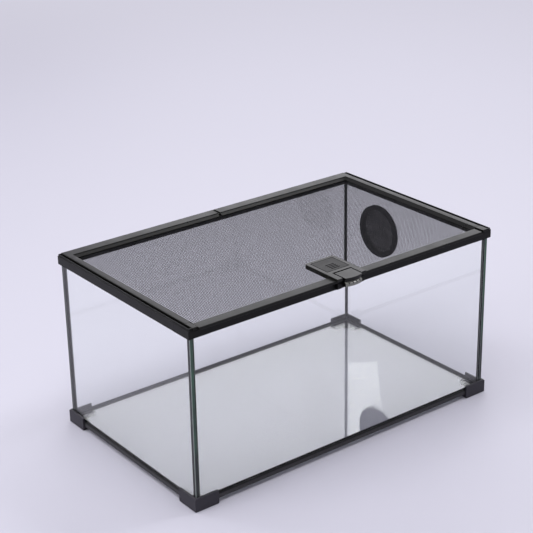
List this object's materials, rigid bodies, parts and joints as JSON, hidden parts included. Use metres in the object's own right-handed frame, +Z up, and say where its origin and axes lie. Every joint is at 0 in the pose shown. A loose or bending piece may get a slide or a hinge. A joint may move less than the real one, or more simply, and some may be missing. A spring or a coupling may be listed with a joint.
{
  "type": "top-opening glass terrarium",
  "caption": "Low glass terrarium with corner feet, a capped top frame, a hinged screen lid with a front snap latch, and a round screened vent in one end pane.",
  "frame": {"origin": "on the floor under the centre of the tank", "axes": "+X along the front to the right, +Y from the front to the back, +Z up"},
  "size_m": [0.5012, 0.3203, 0.253],
  "materials": {
    "clear_glass": "polished float glass with green edges",
    "black_silicone": "tooled satin bead",
    "dark_grey_plastic": "fine moulded texture",
    "black_frame_plastic": "satin extrusion",
    "black_lid_plastic": "satin extrusion",
    "black_latch_plastic": "satin moulding",
    "black_hinge_plastic": "satin moulding",
    "black_vent_plastic": "satin moulding",
    "black_grille": "black coated perforated sheet",
    "black_screen": "black coated woven wire",
    "spline_rubber": "matt extruded cord",
    "steel": "zinc plated"
  },
  "bodies": {
    "tank": {"glass_bottom": "clear_glass", "glass_front": "clear_glass", "glass_back": "clear_glass", "glass_left": "clear_glass", "glass_right": "clear_glass", "seal_front_left": "black_silicone", "seal_front_right": "black_silicone", "seal_back_left": "black_silicone", "seal_back_right": "black_silicone", "seal_bottom": "black_silicone", "foot_front_left": "dark_grey_plastic", "foot_front_right": "dark_grey_plastic", "foot_back_left": "dark_grey_plastic", "foot_back_right": "dark_grey_plastic", "base_trim_front": "dark_grey_plastic", "base_trim_back": "dark_grey_plastic", "base_trim_left": "dark_grey_plastic", "base_trim_right": "dark_grey_plastic", "frame_corner_front_left": "black_frame_plastic", "frame_corner_front_right": "black_frame_plastic", "frame_corner_back_left": "black_frame_plastic", "frame_corner_back_right": "black_frame_plastic", "frame_rail_front_left": "black_frame_plastic", "frame_rail_front_right": "black_frame_plastic", "frame_rail_back": "black_frame_plastic", "frame_rail_left": "black_frame_plastic", "frame_rail_right": "black_frame_plastic", "front_catch": "black_frame_plastic", "hinge_leaf_left": "black_hinge_plastic", "hinge_leaf_right": "black_hinge_plastic", "hinge_pin_left": "steel", "hinge_pin_right": "steel", "hinge_screws": "steel", "vent_flange": "black_vent_plastic", "vent_grille": "black_grille", "vent_ring": "black_vent_plastic"},
    "lid": {"lid_corner_front_left": "black_lid_plastic", "lid_corner_front_right": "black_lid_plastic", "lid_corner_back_left": "black_lid_plastic", "lid_corner_back_right": "black_lid_plastic", "lid_rail_left": "black_lid_plastic", "lid_rail_right": "black_lid_plastic", "lid_rail_front_left": "black_lid_plastic", "lid_rail_front_right": "black_lid_plastic", "lid_rail_back_left": "black_lid_plastic", "lid_rail_back_right": "black_lid_plastic", "lid_joiner": "black_lid_plastic", "lid_screen": "black_screen", "lid_spline": "spline_rubber", "hinge_lug_left": "black_hinge_plastic", "hinge_lug_right": "black_hinge_plastic", "latch_body": "black_latch_plastic", "latch_pin": "steel"},
    "latch": {"latch_tongue": "black_latch_plastic"}
  },
  "joints": [
    {"name": "lid_hinge", "type": "hinge", "parent": "tank", "child": "lid", "pos_m": [0, 0.1544, 0.2446], "axis": [-1, 0, 0], "range_deg": [0, 100]},
    {"name": "latch_hinge", "type": "hinge", "parent": "lid", "child": "latch", "pos_m": [-0.004, -0.1395, 0.2502], "axis": [-1, 0, 0], "range_deg": [0, 50]}
  ]
}
